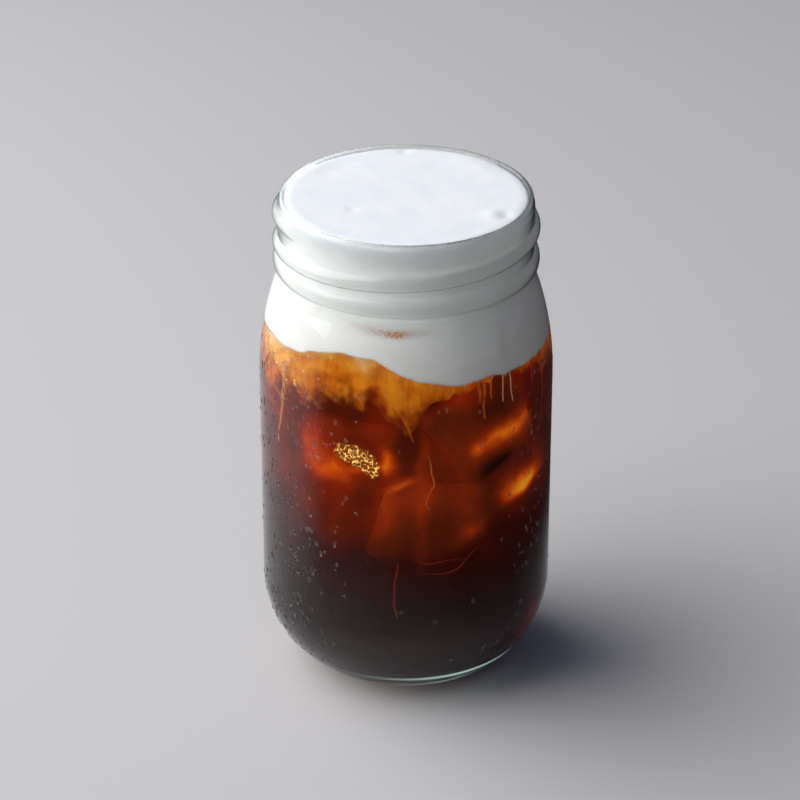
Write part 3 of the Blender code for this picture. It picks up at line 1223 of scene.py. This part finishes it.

# %% [markdown]
# The thick foot gathers light from all round and shows it as a thin pale green crescent at the foot
# of the jar, strongest away from the window. The crescent is a painted glow: a vertex value places it,
# and the glass gives it off as emission.

# %% Gleam in the foot
GLEAM_TOP = 14.0 * MM
GLEAM_LINES = (
    # height, half height, strength, strength of the streaks in it
    (8.7 * MM, 0.62 * MM, 0.95, 0.0),
    (6.4 * MM, 1.7 * MM, 0.14, 0.22),
    (4.4 * MM, 0.9 * MM, 0.45, 0.0),
)


def foot_gleam(vertex):
    """How strongly a vertex of the foot shines: two bright lines with a streaky band between them."""
    place = vertex.co
    faces_out = vertex.normal.x * place.x + vertex.normal.y * place.y > 0.0
    if place.z >= GLEAM_TOP or radius_of(place) <= FOOT_OUTER - 0.2 * MM or not faces_out:
        return 0.0
    angle = angle_of(place)
    side = 0.16 + 0.95 * bell(turn_between(angle, math.radians(-62)), math.radians(34))
    streaks = noise.noise(Vector((angle * 6, place.z / (0.9 * MM), 0.0)))
    lines = sum(
        (strength + streak_strength * streaks) * bell(place.z - height, half)
        for height, half, strength, streak_strength in GLEAM_LINES
    )
    return max(side * lines, 0.0)


keep_value(jar, "gleam", foot_gleam)

# %% [markdown]
# Real drops of dew stand on the cold glass, most of them at the left. Each is a flat ball of water
# half sunk in the glass; every one is a little lens that shows bright and dark sides. A bump texture
# gives flat rings instead, which don't read as water.

# %% Dew drops
DROP_COUNT = 640
DROP_THICKEST = 0.18
SLOPE_STEP = 0.2 * MM
DROP_NAMED = (
    # angle, height mm, half width mm, stretch downwards
    (-130.7, 53.7, 0.75, 1.2),
    (-131.9, 52.6, 0.50, 1.3),
    (-138.9, 43.1, 0.70, 1.1),
    (-129.5, 40.5, 0.60, 2.4),
    (-131.1, 37.6, 0.70, 1.2),
    (-131.5, 25.1, 0.80, 1.2),
    (-33.5, 78.1, 0.75, 1.6),
    (-120.0, 20.0, 0.60, 1.2),
)


def outer_radius(height):
    """Radius of the jar's outside from the heel to the shoulder."""
    if height < HEEL_HEIGHT:
        upright = (1.0 - height / HEEL_HEIGHT) ** (HEEL_FULLNESS / 2.0)
        leaning = math.sqrt(1.0 - upright**2) ** (2.0 / HEEL_FULLNESS)
        return BODY_RADIUS - HEEL_REACH + HEEL_REACH * leaning
    return shoulder_radius(height, BODY_RADIUS)


def some_drop():
    """Angle, height, half width and stretch of a drop that stands anywhere."""
    kind = random.random()
    angle = random.uniform(-180.0, 180.0)
    if kind < 0.62:
        angle = random.gauss(-146.0, 15.0)
    elif kind < 0.78:
        angle = random.gauss(-30.0, 9.0)
    width = random.choice((0.22, 0.28, 0.34, 0.42, 0.55)) * random.uniform(0.8, 1.2)
    return angle, random.uniform(10.0, 99.0), width, random.uniform(0.9, 2.0)


def outward_at(angle, height):
    """The direction in which the outside of the glass faces."""
    slope = (outer_radius(height + SLOPE_STEP) - outer_radius(height - SLOPE_STEP)) / (2 * SLOPE_STEP)
    return Vector((math.cos(angle), math.sin(angle), -slope)).normalized()


deselect()
bpy.ops.mesh.primitive_ico_sphere_add(subdivisions=2, radius=1.0)
first_drop = bpy.context.object
drops_on_glass = []
for angle, height, width, stretch in (*DROP_NAMED, *(some_drop() for _ in range(DROP_COUNT))):
    at = math.radians(angle)
    place = round_place(at, outer_radius(height * MM), height * MM)
    size = (min(DROP_THICKEST, width * 0.5) * MM, width * MM, width * stretch * MM)
    turn = outward_at(at, height * MM).to_track_quat("X", "Z").to_euler()
    drops_on_glass.append(scattered(first_drop, place, size, turn))
bpy.data.objects.remove(first_drop)
dew = joined(drops_on_glass, "dew_drops")
water_finish = Finish("clear_water")
water_shader = water_finish.clear_shader({"Roughness": 0.02, "IOR": 1.33})
clear_body(water_finish, water_shader, (0.9, 0.95, 1.0), 1.0)
dress(dew, water_finish)

# %% [markdown]
# ## Coffee finish
# The coffee itself is only absorption: it bends light no more than the glass's wet side already does,
# takes blue out within a millimetre, green within a few, and lets red go deepest.

# %% Coffee finish
COFFEE_TINT = (0.834, 0.583, 0.0)
COFFEE_DENSITY = 423.0
coffee_finish = Finish("clear_dark_coffee")
clear_body(coffee_finish, coffee_finish.clear_shader({"IOR": 1.0001}), COFFEE_TINT, COFFEE_DENSITY)
dress(coffee, coffee_finish)

# %% [markdown]
# ## Cream finish
# Cream foam is bright white. Its top is painted a cool white and its side a little warmer, which is
# painted light, and a faint warm emission is a painted glow that lightens its shaded side. A few fine
# pits and soft unevenness keep it from looking like plastic. Coffee has soaked into it in a few places:
# soft spots by vertex, broken up into speckles by the finish.

# %% Cream finish
cream_finish = Finish("white_cream_foam")
pits = cream_finish.noise(900.0, 4.0, 0.6)
soft = cream_finish.noise(120.0, 3.0)
painted_cool_top_share = cream_finish.axis("Z").between(130 * MM, CREAM_TOP - 1 * MM)
# Painted light: the top is tinted cool white and the side warmer.
plain = cream_finish.mixed(painted_cool_top_share, rgb(0.90, 0.885, 0.855), rgb(0.83, 0.885, 0.93))
mottled = cream_finish.mixed(soft.between(0.3, 0.7) * 0.5, plain, rgb(0.95, 0.95, 0.94))
stain = cream_finish.attribute("stain")
flat_grain = cream_finish.stretched((2200.0, 2200.0, 4600.0))
speckle = cream_finish.noise(1.0, 3.0, 0.7, flat_grain).between(0.38, 0.62)
soaked = (stain * (0.25 + 1.1 * speckle)).clamped()
brown = cream_finish.mixed(stain.between(0.6, 1.2), rgb(0.42, 0.17, 0.07), rgb(0.62, 0.20, 0.012))
tone = cream_finish.mixed(soaked, mottled, brown)
cream_bump = cream_finish.node(
    "ShaderNodeBump", {}, {"Height": pits * 0.4 + soft, "Strength": 0.12, "Distance": 0.2 * MM}
)
# The faint warm emission is a painted glow, which shows most on the shaded side.
cream_finish.surface(
    cream_finish.principled(
        {
            "Base Color": tone,
            "Roughness": 0.42,
            "Normal": cream_bump,
            "IOR": 1.36,
            "Emission Color": rgb(1.0, 0.86, 0.74),
            "Emission Strength": 0.045,
        }
    )
)
dress(cream, cream_finish)

STAINS = (
    # angle, height mm, half width mm, half height mm, strength
    (-95.5, 112.4, 6.6, 1.1, 0.72),
    (-94.0, 111.9, 2.0, 0.7, 0.9),
    (-107.0, 113.6, 4.4, 0.9, 0.26),
    (-134.0, 115.3, 1.4, 1.3, 0.16),
    (-45.5, 105.5, 1.6, 4.0, 0.22),
    (-60.0, 134.5, 24.0, 1.4, 0.08),
    (60.0, 110.0, 5.0, 0.9, 0.5),
    (140.0, 112.0, 3.0, 0.8, 0.3),
)
STAIN_TOP = 135.6 * MM


def stain_at(vertex):
    if vertex.co.z >= STAIN_TOP:
        return 0.0
    over_line = vertex.co.z - cream_line(angle_of(vertex.co))
    return soft_spots(vertex.co, STAINS, BORE_RADIUS) + 0.22 * bell(over_line, 0.7 * MM)


keep_value(cream, "stain", stain_at)

# %% [markdown]
# ## Cloud, threads, froth and crackle
# All that hangs in the coffee near the glass is lit by lamps and by light that comes through the
# coffee, so each finish mixes plain colour with a little emission: a painted glow for that light. The
# cloud thins out to nothing by its alpha, and unmixed milk shows in fine runs.

# %% Cloud finish
cloud_finish = Finish("cream_mixed_with_coffee")
swirl = cloud_finish.noise(190.0, 4.0, 0.55)
runs = cloud_finish.noise(1.0, 3.0, 0.55, cloud_finish.stretched((620.0, 620.0, 80.0)))
swirl_share = (swirl * 0.65 + runs * 0.35).between(0.34, 0.64)
amber_tone = cloud_finish.mixed(swirl_share, rgb(0.62, 0.30, 0.05), rgb(1.0, 0.78, 0.26))
amber_light = cloud_finish.mixed(swirl_share, rgb(0.75, 0.26, 0.015), rgb(1.0, 0.62, 0.09))
fine_runs = cloud_finish.noise(1.0, 3.0, 0.6, cloud_finish.stretched((1500.0, 1500.0, 130.0)))
milk_share = (cloud_finish.attribute("milk") * fine_runs.between(0.30, 0.58)).clamped()
cloud_tone = cloud_finish.mixed(milk_share, amber_tone, rgb(0.80, 0.64, 0.50))
cloud_light = cloud_finish.mixed(milk_share, amber_light, rgb(0.62, 0.40, 0.26))
# The emission is a painted glow.
cloud_finish.surface(
    cloud_finish.principled(
        {
            "Base Color": cloud_tone,
            "Roughness": 0.9,
            "Specular IOR Level": 0.05,
            "Emission Color": cloud_light,
            "Emission Strength": 0.42,
            "Alpha": cloud_finish.attribute("solidity"),
        }
    )
)
dress(cloud, cloud_finish)

# %% [markdown]
# Threads near the glass are pale, and deeper ones amber or dark red. The coffee in front of them does
# some of that, and a ramp that reads each vertex's paleness does the rest. Noise in the alpha breaks a
# thread up, as happens while it sinks.

# %% Thread finish
THREAD_STOPS = (
    (0.0, (0.34, 0.032, 0.003)),
    (0.5, (0.62, 0.18, 0.020)),
    (0.85, (0.66, 0.29, 0.07)),
    (1.0, (0.56, 0.38, 0.30)),
)
thread_finish = Finish("thread_of_cream")
thread_tone = thread_finish.node(
    "ShaderNodeValToRGB", {"stops": THREAD_STOPS}, {0: thread_finish.attribute("paleness")}
)
broken_up = thread_finish.noise(500.0).between(0.2, 0.5)
# The emission is a painted glow.
thread_finish.surface(
    thread_finish.principled(
        {
            "Base Color": thread_tone,
            "Roughness": 0.8,
            "Specular IOR Level": 0.05,
            "Emission Color": thread_tone,
            "Emission Strength": 0.35,
            "Alpha": thread_finish.attribute("solidity") * broken_up,
        }
    )
)
dress(threads, thread_finish)

# %% [markdown]
# Bubbles are thin tan skins. Clear shells would vanish in the dark, so they get a plain colour that
# lets a little through.

# %% Froth finish
froth_finish = Finish("tan_froth")
# The tan emission is a painted glow.
froth_finish.surface(
    froth_finish.principled(
        {
            "Base Color": rgb(0.85, 0.62, 0.40),
            "Roughness": 0.35,
            "Emission Color": rgb(0.9, 0.55, 0.25),
            "Emission Strength": 0.15,
            "Alpha": 0.8,
        }
    )
)
dress(froth, froth_finish)

# %% [markdown]
# The crackled face is a web of bright gold lines on dark amber: the edges of warped cells, brighter in
# some places than in others, and open between the lines. Their brightness is a painted glint, given off
# as emission; the crackle itself is the ice's own.

# %% Crackle finish
CELL_SCALE = 880.0
CELL_WARP = 1.1 * MM
crackle_finish = Finish("crackled_ice")
warp = crackle_finish.noise(500.0, 2.0, 0.5, output="Color")
bent = crackle_finish.node(
    "ShaderNodeVectorMath",
    {"operation": "MULTIPLY_ADD"},
    {0: warp, 1: (CELL_WARP, CELL_WARP, CELL_WARP), 2: crackle_finish.place()},
)
cells = crackle_finish.node(
    "ShaderNodeTexVoronoi",
    {"feature": "DISTANCE_TO_EDGE"},
    {"Vector": bent, "Scale": CELL_SCALE, "Randomness": 1.0},
    "Distance",
)
# Painted glint: the crackle lines are made bright and glowing.
painted_glint_line = (1.0 - cells.between(0.01, 0.085)) * crackle_finish.noise(1100.0, 2.0).between(0.38, 0.62)
patch_share = crackle_finish.attribute("sparkle").between(0.30, 0.55)
gold = crackle_finish.mixed(painted_glint_line, rgb(0.09, 0.026, 0.002), rgb(1.0, 0.82, 0.40))
crackle_finish.surface(
    crackle_finish.principled(
        {
            "Base Color": gold,
            "Roughness": 0.4,
            "Emission Color": gold,
            "Emission Strength": 1.9,
            "Alpha": (patch_share * (0.60 + 0.6 * painted_glint_line)).clamped(),
        }
    )
)
dress(patch, crackle_finish)

# %% [markdown]
# ## Light that coffee sends back
# The glow of each vertex picks a colour from a ramp, from near black through wine red and orange to
# yellow. It is mostly emission, because this light has already travelled through the coffee, and a
# little plain colour that the lamps can shade.

# %% Glow finishes
GLOW_STOPS = (
    (0.0, (0.0075, 0.0012, 0.0012)),
    (0.14, (0.030, 0.0042, 0.0034)),
    (0.30, (0.105, 0.0170, 0.0080)),
    (0.50, (0.270, 0.0360, 0.0090)),
    (0.70, (0.560, 0.1250, 0.0140)),
    (0.86, (0.850, 0.3400, 0.0300)),
    (1.0, (1.000, 0.7400, 0.1600)),
)


def glowing(name, grain, scale):
    """A finish whose colour follows the piece's glow, roughened by a little noise."""
    finish = Finish(name)
    veins = finish.noise(scale, 5.0, 0.6)
    streaks = finish.noise(1.0, 4.0, 0.6, finish.stretched((420.0, 420.0, 70.0)))
    glow = finish.attribute("glow") * (1.0 - grain + 2.0 * grain * (veins * 0.6 + streaks * 0.4))
    colour = finish.node("ShaderNodeValToRGB", {"stops": GLOW_STOPS}, {0: glow})
    finish.surface(
        finish.principled(
            {
                "Base Color": colour,
                "Roughness": 0.6,
                "Emission Color": colour,
                "Emission Strength": 0.85,
                "Specular IOR Level": 0.1,
            }
        )
    )
    return finish


depths_finish = glowing("light_in_the_coffee", 0.30, 260.0)
dress(depths, depths_finish)
ice_finish = glowing("ice_in_the_coffee", 0.34, 330.0)
for cube in ice:
    dress(cube, ice_finish)

# %% [markdown]
# ## Stage
# A plain pale floor, slightly warm and without shine, with the jar standing in its middle. It reaches
# so far that no edge shows, and the light alone shades it.

# %% Floor
deselect()
bpy.ops.mesh.primitive_plane_add(size=6.0)
floor = bpy.context.object
floor.name = "floor"
floor_finish = Finish("pale_floor")
floor_finish.surface(floor_finish.principled({"Base Color": rgb(0.58, 0.565, 0.57), "Roughness": 0.7}))
dress(floor, floor_finish)

# %% [markdown]
# ## A black card
# A photographer of glass lays black card round it, out of the picture, so that the glass mirrors
# darkness and its contents show. This one is seen by reflections only. It thins out near the jar and
# on the window's side, where the photograph's glass does carry a grey sheen.

# %% Black card
bpy.ops.mesh.primitive_plane_add(size=2.0, location=(0.0, 0.0, MM))
card = bpy.context.object
card.name = "black_card"
place_in_mesh(card)
card_finish = Finish("black_card")
east, north = card_finish.axis("X"), card_finish.axis("Y")
out_from_jar = (east * east + north * north) ** 0.5
window_side = ((north * 0.5 - east * 0.85) / out_from_jar).between(0.40, 0.85)
cover = (out_from_jar + east * 0.18).between(0.045, 0.13) * (1.0 - window_side)
card_finish.surface(
    card_finish.principled({"Base Color": rgb(0.0, 0.0, 0.0), "Roughness": 1.0, "Alpha": cover})
)
dress(card, card_finish)
card.visible_camera = False
card.visible_diffuse = False
card.visible_transmission = False
card.visible_shadow = False

# %% [markdown]
# ## Light
# One large window stands to the left and above, so that shadows fall softly to the right. A small lamp
# would draw hard shadows, and several would draw more than one.

# %% Window
WINDOW_PLACE = Vector((-0.77, 0.10, 0.70))
light = bpy.data.lights.new("window", "AREA")
light.shape = "SQUARE"
light.size = 1.50
light.energy = 12.4
light.color = (1.0, 0.995, 0.985)
light.spread = math.radians(125)
window = bpy.data.objects.new("window", light)
bpy.context.scene.collection.objects.link(window)
window.location = WINDOW_PLACE
to_the_jar = Vector((0.0, 0.0, JAR_HEIGHT / 2)) - WINDOW_PLACE
window.rotation_euler = to_the_jar.to_track_quat("-Z", "Y").to_euler()
print(f"window {light.size:.1f} m wide, {to_the_jar.length:.2f} m from the jar")

# %% [markdown]
# The room is a shader on the world, whose colour follows the direction: pale on the window's side and
# dark blue on the other, which gives the glass its dark right edge. A picture of a room could do this
# too, but glass this plain needs no more than two colours.

# %% Room
WINDOW_WALL = (0.53, 0.545, 0.58, 1.0)
FAR_WALL = (0.036, 0.050, 0.092, 1.0)
world = bpy.data.worlds.new("pale_room")
bpy.context.scene.world = world
world.use_nodes = True
room = world.node_tree
direction = room.nodes.new("ShaderNodeTexCoord").outputs["Generated"]
parts = room.nodes.new("ShaderNodeSeparateXYZ")
westward = room.nodes.new("ShaderNodeMapRange")
westward.interpolation_type = "SMOOTHSTEP"
westward.inputs["From Min"].default_value = 0.15
westward.inputs["From Max"].default_value = -0.85
walls = room.nodes.new("ShaderNodeMix")
walls.data_type = "RGBA"
Finish.find(walls.inputs, "A_Color").default_value = FAR_WALL
Finish.find(walls.inputs, "B_Color").default_value = WINDOW_WALL
room.links.new(direction, parts.inputs["Vector"])
room.links.new(parts.outputs["X"], westward.inputs["Value"])
room.links.new(westward.outputs["Result"], Finish.find(walls.inputs, "Factor_Float"))
room.links.new(Finish.find(walls.outputs, "Result_Color"), room.nodes["Background"].inputs["Color"])

# %% [markdown]
# ## Camera
# It stands where the photograph's stood: a long lens about 0.9 m away, looking 27 degrees down. The
# jar's outline in the photograph, from the ring of the lip to the curve of the heel, gives both.

# %% Camera
CAMERA_TILT = math.radians(27.39)
CAMERA_PLACE = (-1.63 * MM, -775.1 * MM, 477.9 * MM)
camera_data = bpy.data.cameras.new("camera")
camera_data.lens = 145.76
camera_data.sensor_width = 36.0
camera = bpy.data.objects.new("camera", camera_data)
bpy.context.scene.collection.objects.link(camera)
camera.location = CAMERA_PLACE
camera.rotation_euler = (math.pi / 2 - CAMERA_TILT, 0.0, 0.0)
bpy.context.scene.camera = camera
bpy.context.scene.view_settings.view_transform = "Standard"
print(f"{camera_data.lens:.0f} mm lens, {Vector(CAMERA_PLACE).length:.2f} m from the jar's foot")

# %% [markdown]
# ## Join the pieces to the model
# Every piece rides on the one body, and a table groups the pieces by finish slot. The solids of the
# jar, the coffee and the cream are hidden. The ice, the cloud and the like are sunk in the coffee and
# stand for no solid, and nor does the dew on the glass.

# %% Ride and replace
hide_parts("jar")
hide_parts("coffee")
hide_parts("cream")
PIECES_BY_SLOT = (
    ("jar_glass", (jar, dew)),
    ("coffee", (coffee,)),
    ("cream", (cream, cloud)),
    ("coffee", (depths, patch, *ice)),
    ("cream", (threads, froth)),
)
for slot, pieces in PIECES_BY_SLOT:
    for piece in pieces:
        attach(piece, "root")
